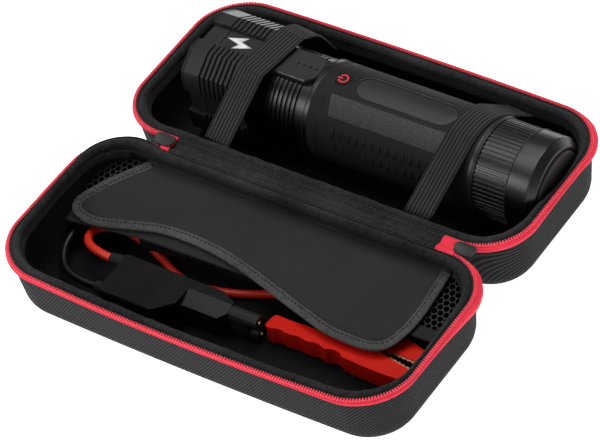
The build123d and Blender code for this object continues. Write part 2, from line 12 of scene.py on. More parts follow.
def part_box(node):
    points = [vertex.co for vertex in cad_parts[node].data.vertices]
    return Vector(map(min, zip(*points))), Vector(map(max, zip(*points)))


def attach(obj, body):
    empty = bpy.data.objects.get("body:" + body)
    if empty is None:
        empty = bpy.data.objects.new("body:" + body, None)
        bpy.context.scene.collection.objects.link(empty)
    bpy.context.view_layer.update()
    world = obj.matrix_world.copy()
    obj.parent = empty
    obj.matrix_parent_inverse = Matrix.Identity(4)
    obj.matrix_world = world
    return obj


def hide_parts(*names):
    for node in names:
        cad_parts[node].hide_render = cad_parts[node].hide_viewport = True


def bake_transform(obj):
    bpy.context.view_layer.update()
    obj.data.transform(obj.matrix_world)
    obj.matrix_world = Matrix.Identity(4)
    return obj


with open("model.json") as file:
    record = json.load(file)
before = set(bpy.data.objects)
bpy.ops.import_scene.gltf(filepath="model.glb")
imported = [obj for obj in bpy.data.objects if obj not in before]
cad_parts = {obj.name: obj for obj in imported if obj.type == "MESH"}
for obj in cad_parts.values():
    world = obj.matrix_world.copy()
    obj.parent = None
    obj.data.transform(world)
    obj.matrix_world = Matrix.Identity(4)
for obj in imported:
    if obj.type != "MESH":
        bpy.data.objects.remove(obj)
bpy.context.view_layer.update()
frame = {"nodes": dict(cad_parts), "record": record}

MM = 0.001


def cad(node):
    """Lowest and highest corner of a CAD node, in millimetres."""
    low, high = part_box(node)
    return low / MM, high / MM


# ---- camera -------------------------------------------------------------------
CAM_AZ, CAM_EL, CAM_ROLL = radians(42.37), radians(44.58), radians(-12.25)
CAM_TARGET, CAM_DISTANCE, CAM_LENS = Vector((-17.2, 14.0, 0.0)), 2216.0, 222.55


def add_camera():
    back = Vector((sin(CAM_AZ) * cos(CAM_EL), -cos(CAM_AZ) * cos(CAM_EL), sin(CAM_EL)))
    right = (-back).cross(Vector((0, 0, 1))).normalized()
    up = right.cross(-back)
    x_axis = right * cos(CAM_ROLL) + up * sin(CAM_ROLL)
    y_axis = up * cos(CAM_ROLL) - right * sin(CAM_ROLL)
    camera = bpy.data.objects.new("Camera", bpy.data.cameras.new("Camera"))
    bpy.context.scene.collection.objects.link(camera)
    turn = Matrix((x_axis, y_axis, back)).transposed().to_4x4()
    camera.matrix_world = Matrix.Translation((CAM_TARGET + back * CAM_DISTANCE) * MM) @ turn
    camera.data.sensor_width, camera.data.lens, camera.data.clip_end = 36.0, CAM_LENS, 20.0
    bpy.context.scene.camera = camera


add_camera()


# ---- materials ----------------------------------------------------------------
class Nodes:
    """A material's node tree, built by name."""

    def __init__(self, name):
        self.material = bpy.data.materials.new(name)
        self.material.use_nodes = True
        self.tree = self.material.node_tree
        self.tree.nodes.clear()
        self.output = self.tree.nodes.new("ShaderNodeOutputMaterial")
        self.shader = self.add("ShaderNodeBsdfPrincipled")
        self.tree.links.new(self.shader.outputs[0], self.output.inputs[0])

    def add(self, kind, inputs=None, **settings):
        node = self.tree.nodes.new(kind)
        for key, value in settings.items():
            setattr(node, key, value)
        for key, value in (inputs or {}).items():
            self.put(node.inputs[key], value)
        return node

    def put(self, socket, value):
        if isinstance(value, bpy.types.NodeSocket):
            self.tree.links.new(value, socket)
        elif isinstance(value, bpy.types.Node):
            self.tree.links.new(value.outputs[0], socket)
        else:
            socket.default_value = value

    def math(self, operation, a, b=0.0):
        return self.add("ShaderNodeMath", {0: a, 1: b}, operation=operation).outputs[0]

    def noise(self, scale, detail):
        coord = self.add("ShaderNodeTexCoord").outputs["Object"]
        return self.add("ShaderNodeTexNoise", {"Vector": coord, "Scale": scale, "Detail": detail}).outputs[0]

    def wave(self, coordinate, pitch):
        """A sine of one coordinate in millimetres, from 0 to 1."""
        turns = self.math("MULTIPLY", coordinate, 2 * pi / pitch)
        return self.math("MULTIPLY_ADD", self.math("SINE", turns), 0.5)

    def uv(self):
        coord = self.add("ShaderNodeTexCoord")
        split = self.add("ShaderNodeSeparateXYZ", {0: coord.outputs["UV"]})
        return split.outputs[0], split.outputs[1]

    def ramp(self, factor, low, high, lo_at=0.3, hi_at=0.7):
        ramp = self.add("ShaderNodeValToRGB", {"Fac": factor})
        ramp.color_ramp.elements[0].position, ramp.color_ramp.elements[1].position = lo_at, hi_at
        ramp.color_ramp.elements[0].color = (*low, 1)
        ramp.color_ramp.elements[1].color = (*high, 1)
        return ramp.outputs[0]

    def bump(self, height, strength, distance, under=None):
        inputs = {"Height": height, "Strength": strength, "Distance": distance}
        if under is not None:
            inputs["Normal"] = under
        return self.add("ShaderNodeBump", inputs).outputs[0]


# noise scales, in features per metre
UNEVEN_SCALE, NAP_SCALE, PILE_SCALE, SPARK_SCALE, SLOW_SCALE, POLISH_SCALE = 28.0, 420.0, 2600.0, 1800.0, 120.0, 900.0
PLAIN_NAP = 0.3   # a cloth with more nap than this is fuzzy and lumpy


def shade(color, factor):
    return tuple(min(1.0, c * factor) for c in color)


def finish_shader(n, color, rough, normal=None, spread=0.18, rough_spread=0.1, scale=900.0, **fixed):
    """Colour and roughness that vary a little over the surface, and constants on the shader itself."""
    fine = n.math("MULTIPLY", n.noise(scale, 4.0), 0.5)
    mixed = n.math("ADD", fine, n.math("MULTIPLY", n.noise(UNEVEN_SCALE, 3.0), 0.5))
    n.put(n.shader.inputs["Base Color"], n.ramp(mixed, shade(color, 1 - spread), shade(color, 1 + spread)))
    low, high = (rough - rough_spread,) * 3, (min(1.0, rough + rough_spread),) * 3
    n.put(n.shader.inputs["Roughness"], n.ramp(mixed, low, high))
    if normal is not None:
        n.put(n.shader.inputs["Normal"], normal)
    for key, value in fixed.items():
        n.shader.inputs[key.replace("_", " ")].default_value = value
    return n.material


def cloth(name, color, pitch=(0.9, 0.9), depth=0.16, rough=0.85, fuzz=0.25, rib=None, twill=False,
          nap=PLAIN_NAP):
    """Woven cloth. Threads run along UV, in millimetres; `rib` is a pitch along the 'rib' attribute, and along it the
    colour carries painted shade in the troughs and painted highlight on the crests.
    """
    fuzzy = nap > PLAIN_NAP
    n = Nodes(name)
    u, v = n.uv()
    if twill:
        u = n.math("ADD", u, v)
    weave = n.math("MULTIPLY", n.wave(u, pitch[0]), n.wave(v, pitch[1]))
    height = weave
    if rib:
        attribute = n.add("ShaderNodeAttribute", attribute_name="rib")
        ribs = n.math("POWER", n.wave(attribute.outputs["Fac"], rib), 0.7)
        height = n.math("ADD", n.math("MULTIPLY", weave, 0.25), ribs)
    normal = n.bump(height, 0.8, depth * MM)
    normal = n.bump(n.noise(PILE_SCALE, 2.0), 0.35, 0.25 * MM, normal)
    if fuzzy:
        normal = n.bump(n.noise(NAP_SCALE, 4.0), 0.7, 0.6 * MM, normal)
    material = finish_shader(n, color, rough, normal, spread=nap, scale=520.0 if fuzzy else 1500.0,
                             Sheen_Weight=fuzz, Sheen_Roughness=0.5, Specular_IOR_Level=0.12)
    if rib:
        # painted shade in the rib troughs and painted highlight on the rib crests: the colour is multiplied by 0.2 in
        # the troughs and by 2.0 on the crests
        plain = n.shader.inputs["Base Color"].links[0].from_socket
        lines = n.ramp(ribs, (0.2,) * 3, (2.0,) * 3, 0.1, 0.9)
        rib_shade_and_highlight = n.add("ShaderNodeMix", {0: 1.0, 6: plain, 7: lines}, data_type="RGBA", blend_type="MULTIPLY")
        n.put(n.shader.inputs["Base Color"], rib_shade_and_highlight.outputs[2])
    return material


def plastic(name, color, rough=0.4, grain=0.02, shine=0.3, **fixed):
    """Moulded plastic or rubber with a fine spark texture and slight unevenness."""
    n = Nodes(name)
    normal = n.bump(n.noise(SPARK_SCALE, 2.0), 0.5, grain * MM)
    normal = n.bump(n.noise(SLOW_SCALE, 2.0), 0.25, 0.05 * MM, normal)
    return finish_shader(n, color, rough, normal, spread=0.12, rough_spread=0.07, Specular_IOR_Level=shine, **fixed)


def metal(name, color, rough=0.3, brushed=False):
    """Bare or anodised metal, polished or brushed along X."""
    n = Nodes(name)
    if brushed:
        coord = n.add("ShaderNodeTexCoord").outputs["Object"]
        stretch = n.add("ShaderNodeMapping", {"Vector": coord, "Scale": (60.0, 1600.0, 1600.0)})
        lines = n.add("ShaderNodeTexNoise", {"Vector": stretch, "Scale": 1.0, "Detail": 3.0}).outputs[0]
    else:
        lines = n.noise(POLISH_SCALE, 2.0)
    normal = n.bump(lines, 0.4, 0.015 * MM)
    return finish_shader(n, color, rough, normal, spread=0.1, rough_spread=0.08, Metallic=1.0)


M = {
    "shell": cloth("case_ribbed_cloth", (0.014, 0.014, 0.015), rib=2.1, depth=0.5, rough=0.8, fuzz=0.03),
    "lining": cloth("case_lining", (0.0055, 0.0055, 0.006), (0.7, 0.7), 0.08, 0.9, 0.02),
    "binding": cloth("binding_tricot", (0.021, 0.021, 0.022), (0.8, 0.55), 0.14, 0.85, 0.05, twill=True, nap=0.85),
    "piping": cloth("inner_piping", (0.012, 0.012, 0.013), (0.8, 0.55), 0.14, 0.85, 0.03, twill=True, nap=0.9),
    "border": cloth("flap_binding_tricot", (0.056, 0.056, 0.057), (0.8, 0.55), 0.14, 0.8, 0.10, twill=True,
                    nap=0.6),
    "flap": cloth("flap_cloth", (0.022, 0.022, 0.023), (0.6, 0.6), 0.07, 0.75, 0.06),
    "thread": cloth("stitch_thread", (0.040, 0.040, 0.042), (0.3, 0.3), 0.05, 0.7, 0.05),
    "dark_thread": cloth("border_thread", (0.005, 0.005, 0.005), (0.3, 0.3), 0.05, 0.8, 0.02),
    "strap": cloth("elastic_strap", (0.021, 0.021, 0.022), (0.7, 0.9), 0.3, 0.8, 0.04, rib=2.375),
    "webbing": cloth("elastic_webbing", (0.019, 0.019, 0.020), (0.8, 2.2), 0.12, 0.8, 0.04),
    "tape": cloth("zip_tape_red", (0.95, 0.038, 0.072), (0.9, 0.7), 0.1, 0.7, 0.04),
    "teeth": plastic("zip_teeth_red", (0.98, 0.075, 0.115), 0.35),
    "net": cloth("net_yarn", (0.034, 0.034, 0.035), (0.5, 0.5), 0.05, 0.8, 0.04),
    "rubber": plastic("soft_rubber", (0.013, 0.013, 0.014), 0.62, 0.02, shine=0.12),
    "knit": plastic("knitted_rubber", (0.017, 0.017, 0.018), 0.42, 0.01, shine=0.4),
    "puller": plastic("puller_rubber", (0.024, 0.024, 0.025), 0.55, 0.02, shine=0.3),
    "black": plastic("black_plastic", (0.012, 0.012, 0.013), 0.45, 0.008, shine=0.16),
    "satin": plastic("satin_plastic", (0.017, 0.017, 0.018), 0.36, 0.012, shine=0.35),
    "white": plastic("white_print", (0.85, 0.85, 0.85), 0.5),
    "red_print": plastic("red_symbol", (0.85, 0.05, 0.04), 0.4),
    "lead_red": plastic("silicone_red", (0.60, 0.022, 0.008), 0.42, 0.01, shine=0.4),
    "lead_black": plastic("silicone_black", (0.004, 0.004, 0.0045), 0.35, 0.01, shine=0.22),
    "clamp_red": plastic("clamp_red", (0.50, 0.009, 0.004), 0.36, 0.004, shine=0.07),
    "module": plastic("module_plastic", (0.0035, 0.0035, 0.0037), 0.27, 0.001, shine=0.22),
    "clamp_black": plastic("clamp_black", (0.008, 0.008, 0.009), 0.42, 0.012, shine=0.12),
    "board": plastic("solder_mask", (0.01, 0.09, 0.03), 0.35),
    "cell": plastic("cell_sleeve", (0.05, 0.10, 0.35), 0.35),
    "smoked": plastic("smoked_light_pipe", (0.003, 0.003, 0.003), 0.25),
    "steel": metal("plated_steel", (0.62, 0.62, 0.63), 0.28),
    "copper": metal("copper_plate", (0.26, 0.12, 0.07), 0.38),
    "gold": metal("gold_plate", (0.95, 0.70, 0.28), 0.22),
    "aluminium": metal("anodised_black", (0.042, 0.042, 0.044), 0.33, brushed=True),
    "reflector": metal("reflector", (0.9, 0.9, 0.9), 0.08),
    "lens": plastic("clear_lens", (0.9, 0.94, 1.0), 0.08, 0.002, Transmission_Weight=0.9, IOR=1.5),
}
SLOT_LOOK = {
    "case_fabric": "shell", "lining_fabric": "lining", "binding_fabric": "binding", "zip_red": "tape",
    "zip_teeth_red": "teeth", "webbing": "webbing", "mesh": "net", "flap_fabric": "flap", "soft_rubber": "rubber",
    "black_plastic": "black", "satin_plastic": "satin", "lead_black": "lead_black", "lead_red": "lead_red",
    "clamp_red": "clamp_red", "clamp_black": "clamp_black", "steel": "steel", "copper_plate": "copper",
    "gold": "gold", "aluminium_black": "aluminium", "board": "board", "lens": "lens", "reflector": "reflector",
    "cell": "cell", "light_dark": "smoked",
}
SPECIAL_LOOK = {"module_top": "module", "module_base": "module", "tail_ring": "aluminium",
                "tail_sleeve": "aluminium", "torch_neck": "aluminium"}
NODE_SLOT = {part["node"]: part["material_slot"] for part in frame["record"]["subparts"]}
NODE_BODY = {node: body for body, nodes in frame["record"]["behaviour"]["bodies"].items() for node in nodes}


# ---- mesh helpers ---------------------------------------------------------------
def add_object(name, vertices, faces, look, uvs=None):
    """A mesh object from points in millimetres; `uvs` lists one (u, v) in millimetres per face corner."""
    mesh = bpy.data.meshes.new(name)
    mesh.from_pydata((np.asarray(vertices, float) * MM).tolist(), [], faces)
    if uvs is not None:
        layer = mesh.uv_layers.new(name="UVMap")
        layer.data.foreach_set("uv", np.asarray(uvs, np.float32).ravel())
    mesh.polygons.foreach_set("use_smooth", [True] * len(mesh.polygons))
    mesh.materials.append(M[look])
    obj = bpy.data.objects.new(name, mesh)
    bpy.context.scene.collection.objects.link(obj)
    return obj


def grid_faces(rows, columns, close_u, close_v, u, v):
    """Quads and their UVs for a grid of points, row by row."""
    faces, uvs = [], []
    for i in range(rows if close_v else rows - 1):
        for j in range(columns if close_u else columns - 1):
            i1, j1 = (i + 1) % rows, (j + 1) % columns
            faces.append((i * columns + j, i * columns + j1, i1 * columns + j1, i1 * columns + j))
            uvs += [(u[j], v[i]), (u[j + 1], v[i]), (u[j + 1], v[i + 1]), (u[j], v[i + 1])]
    return faces, uvs


def loft(name, rings, look, close_u=False, close_v=False, caps=False, flip=False):
    """Skin through rings of equally many points. `caps` closes the ends of an open loft of closed rings."""
    rings = np.asarray(rings, float)
    rows, columns = rings.shape[:2]
    along = np.linalg.norm(np.diff(rings[rows // 2], axis=0, append=rings[rows // 2][:1]), axis=1)
    across = np.linalg.norm(np.diff(rings[:, columns // 2], axis=0, append=rings[:1, columns // 2]), axis=1)
    u, v = np.append(0, np.cumsum(along)), np.append(0, np.cumsum(across))
    faces, uvs = grid_faces(rows, columns, close_u, close_v, u, v)
    if caps:
        for row, order in ((0, -1), (rows - 1, 1)):
            cap = [row * columns + j for j in range(columns)][::order]
            faces.append(cap)
            uvs += [(rings[row][k % columns][0], rings[row][k % columns][1]) for k in cap]
    obj = add_object(name, rings.reshape(-1, 3), faces, look, uvs)
    if flip:
        obj.data.flip_normals()
    return obj


def place(obj, body, slot, *nodes):
    """Ride a finished piece on its body and hide the CAD nodes that it stands for."""
    if body:
        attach(obj, body)
    if nodes:
        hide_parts(*nodes)
    return obj


def catmull_rom(p, first, last, per):
    """Points of a Catmull-Rom curve on the spans that start at first..last-1, wrapping round the list."""
    out = []
    for k in range(first, last):
        a, b, c, d = (p[(k + step) % len(p)] for step in (-1, 0, 1, 2))
        for t in np.arange(per) / per:
            out.append(0.5 * (2 * b + (c - a) * t + (2 * a - 5 * b + 4 * c - d) * t * t
                              + (3 * b - a - 3 * c + d) * t ** 3))
    return out


def closed_curve(points, per=4):
    p = np.asarray(points, float)
    return np.array(catmull_rom(p, 0, len(p), per))


def open_curve(points, per=6):
    p = np.asarray(points, float)
    p = np.vstack([2 * p[0] - p[1], p, 2 * p[-1] - p[-2]])
    return np.array(catmull_rom(p, 1, len(p) - 2, per) + [p[-2]])


def bumpy(x, y, z, scale, seed=0.0):
    """Smooth noise between about -1 and 1 at a point in millimetres."""
    return noise.noise(Vector((x / scale + seed, y / scale - seed, z / scale + 0.5 * seed)))


def joined(name, shapes, look):
    """One mesh from many (points, faces) shapes."""
    vertices, faces = [], []
    for points, shape_faces in shapes:
        base = len(vertices)
        vertices += [tuple(p) for p in points]
        faces += [tuple(base + k for k in f) for f in shape_faces]
    return add_object(name, vertices, faces, look)


def bar(start, end, normal, half_width, half_height, sides=8, taper=0.55):
    """A short bar with rounded ends, flattened along its normal, as (points, faces)."""
    start, end, normal = Vector(start), Vector(end), Vector(normal)
    axis = (end - start).normalized()
    side = axis.cross(normal).normalized()
    normal = side.cross(axis)
    points, faces = [], []
    stations = ((0.0, 0.0), (0.08, taper), (0.25, 1.0), (0.75, 1.0), (0.92, taper), (1.0, 0.0))
    for t, size in stations[1:-1]:
        centre = start.lerp(end, t)
        for k in range(sides):
            a = 2 * pi * k / sides
            points.append(centre + side * cos(a) * half_width * size + normal * sin(a) * half_height * size)
    rows = len(stations) - 2
    for i in range(rows - 1):
        for k in range(sides):
            k1 = (k + 1) % sides
            faces.append((i * sides + k, i * sides + k1, (i + 1) * sides + k1, (i + 1) * sides + k))
    points += [start, end]
    for k in range(sides):
        k1 = (k + 1) % sides
        faces.append((k1, k, rows * sides))
        faces.append(((rows - 1) * sides + k, (rows - 1) * sides + k1, rows * sides + 1))
    return points, faces


def tube(path, radius, look, name, closed=False, sides=10, flat=1.0, up=(0, 0, 1)):
    """A round or flattened tube along a list of points."""
    path = [Vector(p) for p in path]
    count = len(path)
    rings = []
    for i, p in enumerate(path):
        before = path[i - 1] if i or closed else p
        after = path[(i + 1) % count] if i < count - 1 or closed else p
        axis = (after - before).normalized()
        side = axis.cross(Vector(up)).normalized()
        top = side.cross(axis)
        turns = [2 * pi * k / sides for k in range(sides)]
        rings.append([p + side * cos(a) * radius + top * sin(a) * radius * flat for a in turns])
    return loft(name, rings, look, close_u=True, close_v=closed, caps=not closed)


def soften(node, width):
    """A copy of a rigid CAD node with its edges sharper than 32 degrees rounded, which stands for the node."""
    source = frame["nodes"][node]
    copy = bpy.data.objects.new(f"{node}_look", source.data.copy())
    bpy.context.scene.collection.objects.link(copy)
    bm = bmesh.new()
    bm.from_mesh(copy.data)
    bmesh.ops.remove_doubles(bm, verts=bm.verts, dist=2e-6)
    bmesh.ops.dissolve_limit(bm, angle_limit=radians(1.5), verts=bm.verts, edges=bm.edges)
    bm.to_mesh(copy.data)
    bm.free()
    copy.data.polygons.foreach_set("use_smooth", [True] * len(copy.data.polygons))
    copy.data.materials.clear()
    copy.data.materials.append(M[SPECIAL_LOOK.get(node) or SLOT_LOOK[NODE_SLOT[node]]])
    bevel = copy.modifiers.new("rounding", "BEVEL")
    bevel.width, bevel.segments, bevel.limit_method = width * MM, 3 if width > 0.9 else 2, "ANGLE"
    bevel.angle_limit, bevel.harden_normals, bevel.use_clamp_overlap = radians(32.0), False, True
    copy.modifiers.new("normals", "WEIGHTED_NORMAL").keep_sharp = True
    place(copy, NODE_BODY[node], NODE_SLOT[node], node)


# ---- gold tips of the two plug contacts -------------------------------------------
CONTACT_Y, CONTACT_Z, CONTACT_PITCH = -79.5, 14.6, 9.3
for label, side in (("low", -1), ("high", 1)):
    z = CONTACT_Z + side * CONTACT_PITCH / 2
    tip = tube([(x, CONTACT_Y, z) for x in (17.4, 19.2, 21.0)], 1.35, "gold", f"plug_tip_{label}", sides=16)
    place(tip, "lid", NODE_SLOT["plug_contacts"], "plug_contacts")

# ---- the two leads --------------------------------------------------------------
RED_ROUTE = [
    (-90.0, -74.4, 19.0), (-109.0, -74.5, 20.0), (-118.5, -57.0, 16.0), (-107.0, -43.0, 9.0), (-78.0, -49.0, 6.9),
    (-48.0, -64.5, 6.9), (-17.0, -59.5, 6.9), (9.5, -46.5, 6.9), (27.1, -41.8, 10.0),
]
BLACK_ROUTE = [
    (-90.0, -92.5, 12.5), (-111.0, -94.5, 13.0), (-127.0, -76.0, 14.5), (-127.5, -47.0, 14.5),
    (-110.0, -25.0, 16.0), (-85.0, -17.4, 17.0),
]
LEAD_D = 5.2


def lead(name, route, look):
    """A cord along a route given in millimetres, standing for its CAD tube."""
    curve = bpy.data.curves.new(name, "CURVE")
    curve.dimensions = "3D"
    spline = curve.splines.new("NURBS")
    spline.points.add(len(route) - 1)
    for point, place_mm in zip(spline.points, route):
        point.co = (*[c * MM for c in place_mm], 1.0)
    spline.order_u = 3
    spline.use_endpoint_u = True
    curve.bevel_depth = LEAD_D / 2 * MM
    curve.bevel_resolution = 5
    curve.resolution_u = 16
    curve.materials.append(M[look])
    obj = bpy.data.objects.new(f"{name}_cord", curve)
    bpy.context.scene.collection.objects.link(obj)
    place(obj, "lid", NODE_SLOT[name], name)


lead("red_lead", RED_ROUTE, "lead_red")
lead("black_lead", BLACK_ROUTE, "lead_black")

# ---- the rim of each half ---------------------------------------------------------
tape_low, tape_high = cad("base_zip_tape")
CASE_L = tape_high.x - tape_low.x
HALF_W = tape_high.y - tape_low.y
CENTRE_Y = (tape_high.y + tape_low.y) / 2
HINGE_Z = 48.0
CORNER_R = 33.0
HINGE_RUN = 96.0                  # half length of the cloth hinge
ZIP_LEFT, ZIP_RIGHT = 95.0, 106.0  # the zipper stops this far from the middle on the hinge side
BASE, LID = 1, -1
HALF_NAME = {BASE: "base", LID: "lid"}
HALF_BODY = {BASE: "case_base", LID: "lid"}
HALF_MIRROR = {BASE: False, LID: True}
BULGE = {BASE: 2.4, LID: 5.6}     # how far the long front edge bows out
BOTTOM_R = 18.0                   # outer radius between wall and bottom
SHELL_TOP, LINING_TOP = 44.5, 43.0
ROLL_TOP = 47.9                   # no cloth of the rim rises above this
STRIP_STEP = 2.0
CORNER_STEPS = 28


def rim_stations():
    """Skeleton points, outward normals and arc positions round a rim, from the middle of the hinge side."""
    a, b = CASE_L / 2 - CORNER_R, HALF_W / 2 - CORNER_R
    skeleton, normals = [], []

    def run(start, end, normal):
        count = max(2, round(hypot(end[0] - start[0], end[1] - start[1]) / STRIP_STEP))
        for k in range(count):
            t = k / count
            skeleton.append((start[0] + (end[0] - start[0]) * t, start[1] + (end[1] - start[1]) * t))
            normals.append(normal)

    def corner(x, y, start):
        for k in range(CORNER_STEPS):
            angle = radians(start + 90 * k / CORNER_STEPS)
            skeleton.append((x, y))
            normals.append((cos(angle), sin(angle)))

    run((0, -b), (a, -b), (0, -1))
    corner(a, -b, -90)
    run((a, -b), (a, b), (1, 0))
    corner(a, b, 0)
    run((a, b), (-a, b), (0, 1))
    corner(-a, b, 90)
    run((-a, b), (-a, -b), (-1, 0))
    corner(-a, -b, 180)
    run((-a, -b), (0, -b), (0, -1))
    return np.array(skeleton, float), np.array(normals, float)


SKELETON, NORMALS = rim_stations()
STATIONS = len(SKELETON)
OUTLINE = SKELETON + NORMALS * CORNER_R
STEPS = np.linalg.norm(np.diff(OUTLINE, axis=0, append=OUTLINE[:1]), axis=1)
ARC = np.append(0, np.cumsum(STEPS))
PERIMETER = ARC[-1]


def ring(half, inset, z, shrink=1.0):
    """One ring round a half, `inset` in from the rim line, with the long front edge bowed outwards."""
    inset = np.broadcast_to(np.asarray(inset, float), (STATIONS,))
    z = np.broadcast_to(np.asarray(z, float), (STATIONS,))
    local = (SKELETON + NORMALS * (CORNER_R - inset)[:, None]) * shrink
    front = np.clip(NORMALS[:, 1], 0, 1) ** 2
    bow = BULGE[half] * (1 - (2 * OUTLINE[:, 0] / CASE_L) ** 2) * front * (0.3 + 0.7 * z / HINGE_Z)
    y = local[:, 1] + bow * (1 if shrink == 1.0 else 0)
    return np.stack([local[:, 0], half * (CENTRE_Y + y), z], 1)


def rim_frame(half, arc, inset, z):
    """Point, direction along the rim and outward normal at an arc position."""
    arc = arc % PERIMETER
    k = int(np.searchsorted(ARC, arc, side="right")) - 1
    t = (arc - ARC[k]) / STEPS[k]
    rings = ring(half, inset, z)
    a, b = rings[k], rings[(k + 1) % STATIONS]
    point = Vector(a + (b - a) * t)
    along = Vector(b - a).normalized()
    n = NORMALS[k] * (1 - t) + NORMALS[(k + 1) % STATIONS] * t
    return point, along, Vector((n[0], half * n[1], 0)).normalized()


def near(weight, x, y, width):
    """Bell-shaped weight round a place on the rim, for each station; y is measured from the half's middle."""
    d2 = (OUTLINE[:, 0] - x) ** 2 + (OUTLINE[:, 1] - y) ** 2
    return np.exp(-d2 / (2 * width * width)) * weight


# where the padded rim is thin (at the torch's tail and the lid's left end), and where the zipper tape stands out
SQUEEZE = {BASE: near(1.0, 140, 8, 16), LID: near(0.7, 140, 9, 21) + near(0.75, -140, -5, 26)}
FLARE = {
    BASE: near(1.0, 138, 52, 16) + near(0.5, 128, -52, 26) + near(0.2, 140, 0, 30),
    LID: near(1.0, 139, -46, 15) + near(0.6, 140, -20, 20) + near(0.3, 130, 50, 26) + near(0.2, -135, 50, 26),
}


def wall(thickness_in, z_top):
    """Inset and height pairs down one wall of a half and in under its lower edge."""
    radius = BOTTOM_R - thickness_in
    points = [(1.5 + thickness_in + 2.2 * (1 - t) ** 1.5, BOTTOM_R + (z_top - BOTTOM_R) * t)
              for t in (1.0, 0.8, 0.6, 0.4, 0.2)]
    for k in range(10):
        a = pi / 2 * k / 9
        points.append((3.7 + thickness_in + radius * (1 - cos(a)), thickness_in + radius * (1 - sin(a))))
    return points


def tray(name, half, outer, inner, z_top, look):
    """A closed tray between two wall profiles, with its bottom."""
    rings = []
    for offset, order in ((outer, 1), (inner, -1)):
        profile = wall(offset, z_top)
        side = [ring(half, inset, z) for inset, z in profile]
        side += [ring(half, *profile[-1], shrink) for shrink in (0.8, 0.55, 0.3, 0.08, 0.002)]
        rings += side[::order]
    return loft(name, rings, look, close_u=True, close_v=True, flip=not HALF_MIRROR[half])


def add_ribs(obj, half):
    """Phase of the cloth's ribs, in millimetres, for every point of a shell."""
    co = np.zeros(len(obj.data.vertices) * 3)
    obj.data.vertices.foreach_get("co", co)
    co = co.reshape(-1, 3) / MM
    reach = np.clip(np.abs(co[:, 0]) / (CASE_L / 2), 0, 1)
    side = np.clip((reach - 0.72) / 0.28, 0, 1) ** 1.5
    lean = (0.75 if half == LID else 0.12) * (1 - side) + side
    ribs = co[:, 0] - co[:, 2] * lean * 1.05
    attribute = obj.data.attributes.new("rib", "FLOAT", "POINT")
    attribute.data.foreach_set("value", ribs.astype(np.float32))


for half in (BASE, LID):
    shell = tray(f"{HALF_NAME[half]}_shell_cloth", half, 0.0, 2.6, SHELL_TOP, "shell")
    add_ribs(shell, half)
    place(shell, HALF_BODY[half], "case_fabric", f"{HALF_NAME[half]}_shell")
    lining = tray(f"{HALF_NAME[half]}_lining_cloth", half, 2.8, 4.0, LINING_TOP, "lining")
    place(lining, HALF_BODY[half], "lining_fabric", f"{HALF_NAME[half]}_lining")

# ---- padded binding, its seam and stitches -------------------------------------------
BINDING_PROFILE = closed_curve([
    (1.4, 44.0), (1.6, 45.7), (2.1, 46.4), (2.7, 46.3), (3.0, 45.7), (3.6, 46.7), (4.7, 47.5), (5.9, 47.8),
    (7.1, 47.3), (8.0, 46.1), (8.3, 44.4), (7.6, 42.6), (5.6, 41.6), (3.0, 41.8),
])
PIPING_PROFILE = closed_curve([
    (6.6, 42.8), (7.9, 43.0), (8.9, 42.2), (9.3, 41.1), (9.6, 40.5), (9.9, 39.4), (9.5, 38.0), (8.4, 37.2),
    (6.9, 37.2), (6.0, 39.6),
])
# where the roll of the lid hides the zipper, and how far the roll and the zipper shift there
COVER = {BASE: np.zeros(STATIONS), LID: near(1.0, -128, -50, 15) + near(0.6, -112, -60, 10)}
ROLL_SHIFT, ZIP_SHIFT = 2.3, 2.6
ROLL_SQUEEZE, PIPING_SQUEEZE = 3.4, 4.0
STITCH_PITCH, TOOTH_PITCH = 3.1, 1.75


def hinge_side(k):
    return NORMALS[k][1] < -0.95


